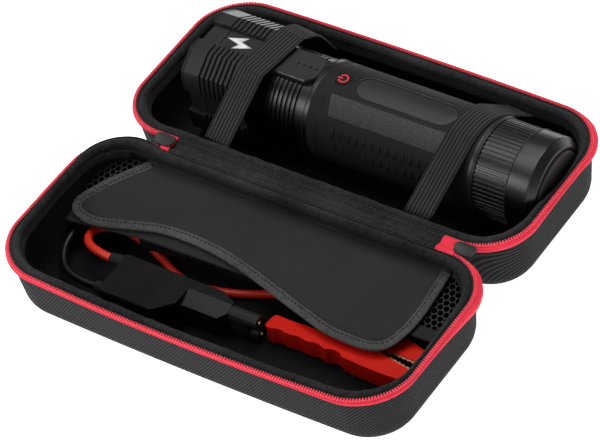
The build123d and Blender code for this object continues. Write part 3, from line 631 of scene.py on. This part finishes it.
def binding(half):
    """The padded roll along the rim, the softer roll inside it and the row of stitches between zipper and roll."""
    name = HALF_NAME[half]
    rings = []
    squeeze = SQUEEZE[half]
    for d, z in BINDING_PROFILE:
        roll = max(0.0, min(1.0, (d - 3.0) / 3.0))
        insets, heights = [], []
        for k in range(STATIONS):
            x, y = OUTLINE[k]
            lump = bumpy(x, y, half * 9, 9.0, 3.1) * 0.5 + bumpy(x, y, d, 3.2, 7.7) * 0.28
            in_corner = abs(NORMALS[k][0] * NORMALS[k][1]) > 0.05
            bend = 0.22 * sin(ARC[k] * 2 * pi / 3.3) * roll * (1.0 if in_corner else 0.15)
            inset = d + roll * (lump * 0.8 + 0.3 * bumpy(x, y, 0, 26.0, 1.3)) - roll * squeeze[k] * ROLL_SQUEEZE
            inset -= ROLL_SHIFT * COVER[half][k] * (1 - 0.4 * roll)
            insets.append(inset)
            heights.append(min(ROLL_TOP, z + (lump * 0.5 + bend * 0.6) * roll - 0.8 * roll * squeeze[k]))
        rings.append(ring(half, insets, heights))
    obj = loft(f"{name}_binding_roll", rings, "binding", close_u=True, close_v=True, flip=HALF_MIRROR[half])
    place(obj, HALF_BODY[half], "binding_fabric", f"{name}_binding")
    rings = []
    for d, z in PIPING_PROFILE:
        sag = [0.45 * bumpy(x, y, d + half, 6.0, 11.0) + 0.25 * bumpy(x, y, d, 2.2, 4.0) for x, y in OUTLINE]
        insets = [d + 0.5 * g - PIPING_SQUEEZE * q for g, q in zip(sag, squeeze)]
        if half == LID:  # the root of the flap needs the room along the hinge side
            room = 6.0 + 0.45 * (z - 37.2)
            insets = [min(i, room) if hinge_side(k) else i for k, i in enumerate(insets)]
        rings.append(ring(half, insets, [z + g for g in sag]))
    obj = loft(f"{name}_inner_piping", rings, "piping", close_u=True, close_v=True, flip=HALF_MIRROR[half])
    place(obj, HALF_BODY[half], "binding_fabric")
    stitches = []
    count = int(PERIMETER / STITCH_PITCH)
    for k in range(count):
        point, along, _ = rim_frame(half, k * PERIMETER / count, 2.4, 46.6)
        stitches.append(bar(point - along * 1.05, point + along * 1.05, (0, 0, 1), 0.30, 0.22))
    place(joined(f"{name}_binding_stitches", stitches, "thread"), HALF_BODY[half], "binding_fabric")


def zip_open(k):
    """True at stations where the zipper runs."""
    return not (hinge_side(k) and -ZIP_LEFT < OUTLINE[k][0] < ZIP_RIGHT)


def zip_tape(half):
    """The red tape from the teeth over the rim's edge and down its side."""
    name = HALF_NAME[half]
    chosen = [k for k in range(STATIONS) if zip_open(k)]
    profile = []
    for k in chosen:
        out = 0.45 + 1.9 * FLARE[half][k]
        low = 43.4 - 2.9 * FLARE[half][k]
        down = ZIP_SHIFT * COVER[half][k]
        x, y = OUTLINE[k]
        ripple = 0.12 * bumpy(x, y, 0, 7.0, 5.0)
        section = [
            (1.9, 45.6), (1.0, 46.0), (0.1, 46.0), (-out + 0.1 + ripple, 45.4), (-out - 0.35 + ripple, 44.6),
            (-out + 0.2 + ripple, low + 0.6), (0.9, low - 0.6), (1.9, low - 0.2), (1.4, 44.2), (1.9, 44.9),
        ]
        profile.append(closed_curve([(d, z - down) for d, z in section], 3))
    profile = np.array(profile)
    rings = []
    for row in range(profile.shape[1]):
        insets, heights = np.zeros(STATIONS), np.full(STATIONS, 45.0)
        insets[chosen], heights[chosen] = profile[:, row, 0], profile[:, row, 1]
        rings.append(ring(half, insets, heights)[chosen])
    rings = np.transpose(np.array(rings), (1, 0, 2))
    obj = loft(f"{name}_zip_tape_cloth", rings, "tape", close_u=True, caps=True, flip=HALF_MIRROR[half])
    place(obj, HALF_BODY[half], "zip_red", f"{name}_zip_tape")


def zip_teeth(half):
    """Single teeth across the zipper's edge, and the coil's bead between them."""
    name = HALF_NAME[half]
    teeth = []
    first, last = ZIP_RIGHT + 1.0, PERIMETER - ZIP_LEFT - 1.0
    for k in range(int((last - first) / TOOTH_PITCH)):
        arc = first + k * TOOTH_PITCH
        down = ZIP_SHIFT * float(np.interp(arc, ARC[:-1], COVER[half]))
        point, along, outward = rim_frame(half, arc, 1.05, 46.5 - down)
        teeth.append(bar(point + outward * 1.15, point - outward * 0.85, (0, 0, 1), 0.62, 0.75, sides=6, taper=0.8))
        lip = point + outward * 1.05 - Vector((0, 0, 0.15))
        teeth.append(bar(lip - along * 0.85, lip + along * 0.85, (0, 0, 1), 0.42, 0.5, sides=6, taper=0.8))
    obj = joined(f"{name}_zip_coil", teeth, "teeth")
    place(obj, HALF_BODY[half], "zip_teeth_red", f"{name}_zip_teeth")


for half in (BASE, LID):
    binding(half)
    zip_tape(half)
    zip_teeth(half)

# ---- cloth hinge between the halves ---------------------------------------------------
GUSSET_SECTION = [(6.6, 44.6), (5.2, 46.3), (4.3, 46.6), (3.4, 46.0), (2.4, 45.2), (1.2, 45.0), (0.0, 45.35),
                  (-1.2, 45.0), (-2.4, 45.2), (-3.4, 46.0), (-4.3, 46.6), (-5.2, 46.3), (-6.6, 44.6)]


def hinge_strip(name, x0, x1, section, thickness, look, step=2.0, wobble=0.3):
    """Cloth that runs from the base rim to the lid rim between two places on the hinge."""
    line = open_curve(section, 5)
    count = max(2, int(abs(x1 - x0) / step))
    rings = []
    for k in range(count + 1):
        x = x0 + (x1 - x0) * k / count
        top = [(x, y, z + wobble * bumpy(x, y, 0, 8.0, 2.0) * (1 - abs(y) / 8)) for y, z in line]
        under = [(x, y, z - thickness) for x, y, z in reversed(top)]
        rings.append(top + under)
    obj = loft(name, rings, look, close_u=True, caps=True)
    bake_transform(obj)
    return obj


gusset = hinge_strip("hinge_gusset_cloth", -HINGE_RUN - 3, HINGE_RUN + 3, GUSSET_SECTION, 0.9, "binding")
place(gusset, None, "lining_fabric", "hinge_gusset")
SEAM_RUN, SEAM_Y, SEAM_Z, SEAM_STITCHES = 94, 4.3, 46.75, 62
for half in (BASE, LID):
    seam = []
    for k in range(SEAM_STITCHES):
        x = -SEAM_RUN + 2 * SEAM_RUN * k / (SEAM_STITCHES - 1)
        ends = [(x + dx, half * SEAM_Y, SEAM_Z) for dx in (-1.0, 1.0)]
        seam.append(bar(*ends, (0, 0, 1), 0.28, 0.2))
    place(joined(f"hinge_stitches_{HALF_NAME[half]}", seam, "thread"), HALF_BODY[half], "lining_fabric")
END_SECTION = [(6.4, 46.3), (4.4, 47.2), (2.6, 46.9), (1.0, 46.2), (0.0, 46.0), (-1.0, 46.2), (-2.6, 46.9),
               (-4.4, 47.2), (-6.4, 46.3)]
for label, x0, x1 in (("right", 98.0, 110.5), ("left", -97.0, -91.0)):
    end = hinge_strip(f"zip_tape_end_{label}", x0, x1, END_SECTION, 0.5, "tape", 1.0, 0.15)
    place(end, None, "zip_red")

# ---- straps -----------------------------------------------------------------------------
TORCH_Y, TORCH_Z, GRIP_R = 74.0, 36.4, 30.5
STRAP_W, STRAP_RIBS, STRAP_GAP = 19.0, 8, 0.12


def strap(node, line, turn):
    """Ribbed elastic webbing: `line` is its inner edge in YZ, and it is turned a little about the torch."""
    low, high = cad(node)
    middle = (low.x + high.x) / 2
    path = open_curve(line, 8)
    columns = STRAP_RIBS * 6
    rings = []
    for i, (y, z) in enumerate(path):
        before, after = path[max(0, i - 1)], path[min(len(path) - 1, i + 1)]
        dy, dz = after[0] - before[0], after[1] - before[1]
        size = hypot(dy, dz)
        ny, nz = -dz / size, dy / size
        top, under = [], []
        for k in range(columns + 1):
            t = k / columns
            height = 0.88 + 0.32 * abs(sin(pi * STRAP_RIBS * t)) ** 0.6
            full = 1.0 if 0 < k < columns else 0.35
            x = (t - 0.5) * STRAP_W + 0.12 * bumpy(i * 3.0, k, 0, 6.0, 4.0)
            lift = STRAP_GAP + (height - STRAP_GAP) * full
            top.append((x, y + ny * lift, z + nz * lift))
            under.append((x, y + ny * STRAP_GAP, z + nz * STRAP_GAP))
        rings.append(top + under[::-1])
    across = [STRAP_W * k / columns for k in range(columns + 1)]
    spin = Matrix.Translation((middle, TORCH_Y, 0)) @ Matrix.Rotation(radians(turn), 4, "Z")
    points = [[tuple(spin @ Vector((x, y - TORCH_Y, z))) for x, y, z in row] for row in rings]
    obj = loft(f"{node}_webbing", points, "strap", close_u=True, caps=True, flip=True)
    attribute = obj.data.attributes.new("rib", "FLOAT", "POINT")
    attribute.data.foreach_set("value", np.tile(across + across[::-1], len(points)).astype(np.float32) + 0.6)
    place(obj, "case_base", "webbing", node)


arc_r = GRIP_R + 0.6
strap("strap_left", [(15.5, 41.5), (24, 47.7), (40, 59), (50, 66.0), (54.0, 68.4), (56, 69.1), (74, 69.1),
                     (90.5, 69.1), (94, 67.8), (105.0, 60.6), (116.0, 40.5)], -7.0)
strap("strap_right", [(15.0, 41.5)] + [(TORCH_Y - arc_r * cos(radians(a)), TORCH_Z + arc_r * sin(radians(a)))
                                       for a in range(62, 136, 9)] + [(116.0, 40.5)], -5.0)

# ---- torch ---------------------------------------------------------------------------------
# rigid CAD nodes and the width of their rounded edges
for node, width in (
    ("torch_head", 0.55), ("head_plates", 0.4), ("torch_bezel", 0.4), ("torch_neck", 0.3),
    ("indicator_plate", 0.35), ("torch_grip", 0.5), ("grip_inlay", 0.25), ("power_button", 0.4),
    ("rear_collar", 0.35), ("tail_ring", 0.18), ("tail_sleeve", 0.5), ("module_top", 1.3), ("module_base", 0.5),
    ("plug_body", 0.4), ("red_fixed_arm", 1.5), ("red_moving_arm", 1.5), ("black_fixed_arm", 1.5),
    ("black_moving_arm", 1.5), ("red_fixed_jaw", 0.15), ("red_moving_jaw", 0.15), ("black_fixed_jaw", 0.15),
    ("black_moving_jaw", 0.15), ("clamp_springs", 0.25), ("lead_reliefs", 0.3), ("tail_disc", 0.3),
):
    soften(node, width)


def on_torch(x, angle, lift):
    """A place on the grip: the angle is measured from +Y over the top towards -Y."""
    a = radians(angle)
    return Vector((x, TORCH_Y + (GRIP_R + lift) * cos(a), TORCH_Z + (GRIP_R + lift) * sin(a)))


def knit_panel():
    """Raised rubber panel with a diamond pattern on the side of the grip."""
    x0, x1, a0, a1 = -15.0, 66.0, 112.0, 139.0
    columns, rows, pitch = 300, 52, 1.3 * 1.41
    top, under = [], []
    for i in range(rows + 1):
        angle = a0 + (a1 - a0) * i / rows
        arc = radians(angle) * GRIP_R
        line = []
        for k in range(columns + 1):
            x = x0 + (x1 - x0) * k / columns + (angle - a0) * 0.12
            edge = min(1.0, min(k, columns - k, i, rows - i) / 2.0)
            diamond = abs(sin(pi * (x + arc) / pitch)) * abs(sin(pi * (x - arc) / pitch))
            line.append(on_torch(x, angle, (0.10 + 0.45 * diamond ** 0.8) * edge - 0.05))
        top.append(line)
        under.append([on_torch(p.x, angle, -0.5) for p in line])
    place(loft("grip_knit_panel", top + under[::-1], "knit", close_v=True), "case_base", "soft_rubber")


def grip_nubs():
    """Two rows of rounded finger grips under the panel."""
    nubs = []
    for angle in (155.0, 173.0):
        for k in range(14):
            x = -6.7 + 5.5 * k + (angle - 155.0) * 0.05
            upward = on_torch(x, angle - 6.0, 0.1) - on_torch(x, angle + 6.0, 0.1)
            outward = on_torch(x, angle, 1.0) - on_torch(x, angle, 0.0)
            middle = on_torch(x, angle, 0.15)
            nubs.append(bar(middle - upward / 2, middle + upward / 2, outward, 1.5, 0.34))
    place(joined("grip_nubs", nubs, "rubber"), "case_base", "soft_rubber")


def rounded_slot(x0, x1, half, steps=14):
    """Outline of a slot with round ends, as (x, sideways) pairs."""
    turns = [(half * sin(pi * k / steps), half * cos(pi * k / steps)) for k in range(steps + 1)]
    return [(x1 - half + a, b) for a, b in turns] + [(x0 + half - a, -b) for a, b in turns]


def wrapped(points, lift):
    """Points given as (x, sideways), laid on the round grip."""
    return [on_torch(x, 90.0 - side / GRIP_R * 180 / pi, lift) for x, side in points]


def torch_lines():
    """Lip round the inlay, the rings that end the grip, and near-black tubes that paint the shade in the groove round
    the inlay and in the groove across the grip.
    """
    lip = wrapped(rounded_slot(-3.4, 66.4, 8.9), 0.1)
    place(tube(lip, 0.32, "satin", "inlay_lip", closed=True, sides=8), "case_base", "satin_plastic")
    # a near-black raised tube round the inlay: painted shade in the groove round it
    groove = wrapped(rounded_slot(-5.4, 68.4, 10.9), -0.12)
    place(tube(groove, 0.22, "smoked", "inlay_painted_groove_shade", closed=True, sides=6), "case_base", "black_plastic")
    # the smoked ring at x -18.2 is painted shade in the groove across the grip
    for name, body, x, lift, r, look in (
        ("neck_rim", "case_base", -28.4, 0.0, 0.28, "satin"), ("grip_groove_painted_shade", "case_base", -18.2, -0.1, 0.28, "smoked"),
        ("collar_ring", "case_base", 89.6, 0.0, 0.45, "satin"), ("tail_rim", "tail_cap", 113.4, -0.1, 0.35, "satin"),
    ):
        circle = [on_torch(x, 360 * k / 120, lift) for k in range(120)]
        place(tube(circle, r, look, name, closed=True, sides=8, up=(1, 0, 0)), body, "satin_plastic")


def prism(points, z0, z1):
    """Upright prism on an outline, as (points, faces)."""
    count = len(points)
    vertices = [(x, y, z0) for x, y in points] + [(x, y, z1) for x, y in points]
    sides = [(k, (k + 1) % count, count + (k + 1) % count, count + k) for k in range(count)]
    return vertices, sides + [tuple(range(count))[::-1], tuple(range(count, 2 * count))]


def printed_marks():
    """White bolt on the head's top plate, and the red on/off sign on the button."""
    plate_top = cad("head_plates")[1].z
    bolt = [(-99, 75.4), (-86, 80.2), (-88.6, 75.6), (-80, 73.4), (-92, 68.4), (-89.4, 73.0)]
    mark = joined("head_bolt_mark", [prism(bolt, plate_top - 0.05, plate_top + 0.12)], "white")
    place(mark, "case_base", "satin_plastic")
    (x0, y0, _), (x1, y1, button_top) = cad("power_button")
    x, y = (x0 + x1) / 2, (y0 + y1) / 2
    inner, outer = 2.4, 3.4
    sign = []
    for k in range(16):
        a, b = radians(215 + 290 * k / 16), radians(215 + 290 * (k + 1) / 16)
        corners = ((a, inner), (b, inner), (b, outer), (a, outer))
        sign.append([(x + r * cos(angle), y + r * sin(angle)) for angle, r in corners])
    sign.append([(x - 3.8, y - 0.5), (x - 0.4, y - 0.5), (x - 0.4, y + 0.5), (x - 3.8, y + 0.5)])
    shapes = [prism(quad, button_top - 0.2, button_top + 0.1) for quad in sign]
    place(joined("power_sign", shapes, "red_print"), "power_button", "satin_plastic")


def pull_tab(label, x0, x1):
    """Soft saddle-shaped tab on the slider, with its yoke round the slider's bridge."""
    columns, rows = 26, 12
    top, under = [], []
    for k in range(columns + 1):
        t = k / columns
        half_width = 4.4 * (1 - abs(2 * t - 1) ** 3.2) ** 0.5 + 0.05
        x = x0 + (x1 - x0) * t
        dip = 1.15 * (2 * t - 1) ** 2
        row = [half_width * (2 * i / rows - 1) for i in range(rows + 1)]
        top.append([(x, y, 48.9 - 0.05 * y * y + dip + 0.15 * bumpy(x, y, 0, 4.0, 5.5)) for y in row])
        under.append([(x, y, 47.6 - 0.05 * y * y + dip) for y in row])
    rings = [a + b[::-1] for a, b in zip(top, under)]
    tab = loft(f"pull_tab_{label}", rings, "puller", close_u=True, caps=True)
    place(tab, f"puller_{label}", "soft_rubber", f"puller_{label}")
    bridge = [(x0 + 1, -2.4, 47.0), (x0 + 0.4, 0, 47.2), (x0 + 1, 2.4, 47.0), (x0 + 6, 2.4, 47.4),
              (x0 + 7, 0, 47.5), (x0 + 6, -2.4, 47.4)]
    yoke = tube(closed_curve(bridge, 5), 0.6, "satin", f"pull_yoke_{label}", closed=True, sides=8)
    place(yoke, f"puller_{label}", "soft_rubber")


def zip_slider(label, x0, length, *nodes):
    """A slider body, low under its tab."""
    rings = []
    for t, size in ((0.0, 0.75), (0.12, 1.0), (0.5, 0.92), (0.88, 1.0), (1.0, 0.75)):
        turns = [2 * pi * k / 16 for k in range(16)]
        rings.append([(x0 + length * t, 2.7 * size * cos(a), 46.2 + 1.25 * size * sin(a)) for a in turns])
    obj = loft(f"zip_slider_{label}", rings, "satin", close_u=True, caps=True, flip=True)
    place(obj, "case_base", NODE_SLOT["zip_sliders"], *nodes)


knit_panel()
grip_nubs()
torch_lines()
printed_marks()
pull_tab("right", 108.5, 122.5)
pull_tab("left", -103.5, -89.5)
zip_slider("right", 108.5, 10, "zip_sliders")
zip_slider("left", -101.0, 9)

# ---- flap --------------------------------------------------------------------------------
FLAP_ORIGIN = Vector((0.0, -10.2, 36.6))
FLAP_SLOPE = radians(12.2)
SLOPE_COS, SLOPE_SIN = cos(FLAP_SLOPE), sin(FLAP_SLOPE)
BORDER_IN, SEAM_IN = 4.6, 4.1    # from the flap's edge to the end of its panel, and to the stitches
FLAP_OUTLINE = [
    (111, 0), (-103, 0), (-110, -8), (-118, -17), (-126, -28), (-132, -38), (-132, -45), (-126, -50.5),
    (-112, -52.5), (-91, -47.5), (-69, -42), (-47, -41), (-24, -43), (0, -48), (21, -53.5), (42, -59),
    (62, -63.5), (83, -64.3), (95, -62.5), (103, -56.5), (108.3, -44), (110.5, -31), (111, -15),
]


def on_flap(x, y, z=0.0):
    """A place on the flap, in millimetres: x and y in its own plane, z above it."""
    return FLAP_ORIGIN + Vector((x, y * SLOPE_COS - z * SLOPE_SIN, y * SLOPE_SIN + z * SLOPE_COS))


def flap_crown(x, y):
    """The cloth's own gentle swell above its plane."""
    swell = 0.35 * sin(pi * min(1.0, max(0.0, -y / 52.0))) * (1 - (x / 150.0) ** 2)
    return swell + 0.2 * bumpy(x, y, 0, 34.0, 6.0)


def inward(points, k):
    """Unit normal into the outline at one of its points."""
    before, after = points[max(0, k - 1)], points[min(len(points) - 1, k + 1)]
    dx, dy = after[0] - before[0], after[1] - before[1]
    size = hypot(dx, dy)
    return -dy / size, dx / size


def inset_outline(points, distance):
    """The outline moved inwards by a distance, point by point."""
    normals = [inward(points, k) for k in range(len(points))]
    return np.array([(p[0] + n[0] * distance, p[1] + n[1] * distance) for p, n in zip(points, normals)])


def build_flap():
    """The flap's cloth, its bound border with stitches, and the rolled seam where it is sewn on."""
    edge = open_curve(FLAP_OUTLINE[1:] + FLAP_OUTLINE[:1], 10)
    columns, rows = len(edge), 14
    inner = inset_outline(edge, BORDER_IN)
    inner[:, 1] = np.minimum(inner[:, 1], -0.5)
    top, under = [], []
    for i in range(rows + 1):
        t = i / rows
        row_top, row_under = [], []
        for k in range(columns):
            x, y = inner[k]
            x0 = -100 + 208 * k / (columns - 1)
            px, py = x0 + (x - x0) * t, -0.5 + (y + 0.5) * t
            h = flap_crown(px, py)
            row_top.append(on_flap(px, py, 0.5 + h))
            row_under.append(on_flap(px, py, -0.5 + h))
        top.append(row_top)
        under.append(row_under)
    obj = loft("flap_panel", top + under[::-1], "flap", close_v=True)
    bm = bmesh.new()
    bm.from_mesh(obj.data)
    bmesh.ops.holes_fill(bm, edges=[e for e in bm.edges if e.is_boundary], sides=0)
    bmesh.ops.recalc_face_normals(bm, faces=bm.faces)
    bm.to_mesh(obj.data)
    bm.free()
    place(obj, "flap", "flap_fabric", "flap")
    # bound border: a folded strip over the cloth's edge, with its stitches
    section = closed_curve([(-0.2, 0.0), (0.35, 0.75), (1.6, 1.0), (3.2, 0.95), (4.1, 0.55), (5.2, 0.85), (5.9, 0.55),
                            (5.9, -0.6), (3.0, -0.85), (0.35, -0.7)], 3)
    rings = []
    for k in range(columns):
        nx, ny = inward(edge, k)
        row = []
        for d, z in section:
            x, y = edge[k][0] + nx * d, edge[k][1] + ny * d
            wobble = 0.10 * bumpy(x, y, d, 5.0, 8.0) + 0.10 * sin(k * 2.1)
            row.append(on_flap(x, min(y, 0.0), z * (0.82 + wobble) + flap_crown(x, y)))
        rings.append(row)
    border = loft("flap_border", rings, "border", close_u=True, caps=True)
    place(border, "flap", "binding_fabric", "flap_binding")
    seam = inset_outline(edge, SEAM_IN)
    run = np.append(0, np.cumsum(np.linalg.norm(np.diff(seam, axis=0), axis=1)))
    stitches = []
    for s in np.arange(3.0, run[-1] - 3.0, 2.9):
        ends = []
        for t in (s, s + 1.9):
            x, y = np.interp(t, run, seam[:, 0]), np.interp(t, run, seam[:, 1])
            ends.append(on_flap(x, min(y, -0.3), 0.60 + flap_crown(x, y)))
        stitches.append(bar(ends[0], ends[1], on_flap(0, 0, 1) - on_flap(0, 0, 0), 0.28, 0.2))
    place(joined("flap_stitches", stitches, "dark_thread"), "flap", "binding_fabric")
    # sewn edge: a soft rolled seam along the hinge side
    path = [on_flap(-103 + 214 * k / 70, 0.4 + 0.3 * bumpy(k, 0, 0, 4.0, 9.0), 0.6 + 0.4 * bumpy(k, 3, 0, 3.0, 2.0))
            for k in range(71)]
    place(tube(path, 1.9, "binding", "flap_sewn_roll", sides=12, flat=0.85), "flap", "binding_fabric")
    return obj


build_flap()

# ---- mesh pocket -----------------------------------------------------------------------------
MESH_DROP = 2.6
POCKET_EDGE = [(-150.0, -57.0), (-110.0, -52.0), (-79.0, -48.4), (-40, -47.2), (0.0, -46.5), (150.0, -43.5)]
NET_PITCH, STRAND = 4.1, 0.95


def pocket_edge_y(x):
    return float(np.interp(x, [p[0] for p in POCKET_EDGE], [p[1] for p in POCKET_EDGE]))


def inside_lid(point, margin):
    """True when a point lies inside the lid's lining by a margin."""
    a, b = CASE_L / 2 - CORNER_R, HALF_W / 2 - CORNER_R
    x, y = abs(point.x), abs(-point.y - CENTRE_Y)
    dx, dy = max(0.0, x - a), max(0.0, y - b)
    return hypot(dx, dy) <= CORNER_R - margin and x <= CASE_L / 2 - margin and y <= HALF_W / 2 - margin


def build_net():
    """The pocket's hexagon net, as strands round the cells of a sheet."""
    bm = bmesh.new()
    keys = {}

    def corner(x, y):
        key = (round(x, 2), round(y, 2))
        if key not in keys:
            sag = -0.5 * sin(pi * min(1.0, -y / 50.0)) + 0.2 * bumpy(x, y, 0, 20, 3.3)
            keys[key] = bm.verts.new(on_flap(x, y, -MESH_DROP + sag) * MM)
        return keys[key]

    size = NET_PITCH / math.sqrt(3)
    for row in range(-1, 18):
        y = -row * size * 1.5
        for column in range(-36, 37):
            x = column * NET_PITCH + (NET_PITCH / 2 if row % 2 else 0)
            if y > -1.0 or y < pocket_edge_y(x) + 6.0 or not inside_lid(on_flap(x, y), 4.6):
                continue
            cell = [corner(x + size * sin(radians(60 * k)), y + size * cos(radians(60 * k))) for k in range(6)]
            bm.faces.new(cell)
    mesh = bpy.data.meshes.new("mesh_pocket_net")
    bm.to_mesh(mesh)
    bm.free()
    mesh.materials.append(M["net"])
    mesh.polygons.foreach_set("use_smooth", [True] * len(mesh.polygons))
    obj = bpy.data.objects.new("mesh_pocket_net", mesh)
    bpy.context.scene.collection.objects.link(obj)
    wire = obj.modifiers.new("strands", "WIREFRAME")
    wire.thickness, wire.use_even_offset, wire.use_boundary = STRAND * MM, False, True
    round_off = obj.modifiers.new("round", "SUBSURF")
    round_off.levels = round_off.render_levels = 1
    return place(obj, "lid", "mesh", "mesh_pocket")


def build_hem():
    """The elastic band with five ribs that edges the net."""
    section = closed_curve([(-0.2, 0.0), (0.3, 0.7), (1.3, 0.95), (1.8, 0.45), (2.4, 0.95), (3.0, 0.45),
                            (3.6, 0.95), (4.2, 0.45), (4.8, 0.95), (5.4, 0.45), (6.0, 0.95), (6.6, 0.45),
                            (7.4, 0.9), (8.0, 0.0), (7.4, -0.7), (4.0, -0.8), (0.3, -0.7)], 2)
    rings = []
    for k in range(-66, 67):
        x = k * 2.0
        y = pocket_edge_y(x)
        if not inside_lid(on_flap(x, y + 1.0), 4.7):
            continue
        rings.append([on_flap(x, y + d, -MESH_DROP + z + 0.12 * bumpy(x, d, 0, 4.0, 1.0)) for d, z in section])
    hem = loft("pocket_hem_band", rings, "webbing", close_u=True, caps=True)
    place(hem, "lid", "webbing", "pocket_hem")


pocket_net = build_net()
build_hem()

# ---- carried-over CAD nodes ------------------------------------------------------------------------
for node, slot_name in NODE_SLOT.items():
    obj = frame["nodes"][node]
    obj.data.materials.clear()
    obj.data.materials.append(M[SLOT_LOOK[slot_name]])

# ---- stage -------------------------------------------------------------------------------------------
M["floor"] = finish_shader(Nodes("pale_floor"), (0.90, 0.90, 0.90), 0.9, spread=0.01,
                           Emission_Color=(1.0, 1.0, 1.0, 1.0), Emission_Strength=1.0)
FLOOR_HALF, FLOOR_Z = 4000, -0.3
corners = [(x * FLOOR_HALF, y * FLOOR_HALF, FLOOR_Z) for x, y in ((-1, -1), (1, -1), (1, 1), (-1, 1))]
floor = add_object("floor", corners, [(0, 1, 2, 3)], "floor")


def area_light(name, place_mm, size, power):
    """A soft light at a place in millimetres, turned to the middle of the object."""
    light = bpy.data.lights.new(name, "AREA")
    light.shape, light.size, light.size_y, light.energy = "RECTANGLE", size[0] * MM, size[1] * MM, power
    obj = bpy.data.objects.new(name, light)
    bpy.context.scene.collection.objects.link(obj)
    position = Vector(place_mm)
    turn = (-position).to_track_quat("-Z", "Y").to_matrix().to_4x4()
    obj.matrix_world = Matrix.Translation(position * MM) @ turn


area_light("key", (-100, 800, 1800), (1000, 700), 17.0)
area_light("fill", (1300, -1100, 700), (900, 500), 3.5)
area_light("edge", (-900, -1300, 980), (800, 600), 9.0)
area_light("top", (-450, -100, 1850), (1000, 1000), 11.0)
world = bpy.data.worlds.new("studio")
world.use_nodes = True
world.node_tree.nodes["Background"].inputs[0].default_value = (1.0, 1.0, 1.0, 1.0)
world.node_tree.nodes["Background"].inputs[1].default_value = 0.22
bpy.context.scene.world = world
bpy.context.scene.view_settings.view_transform = "Standard"
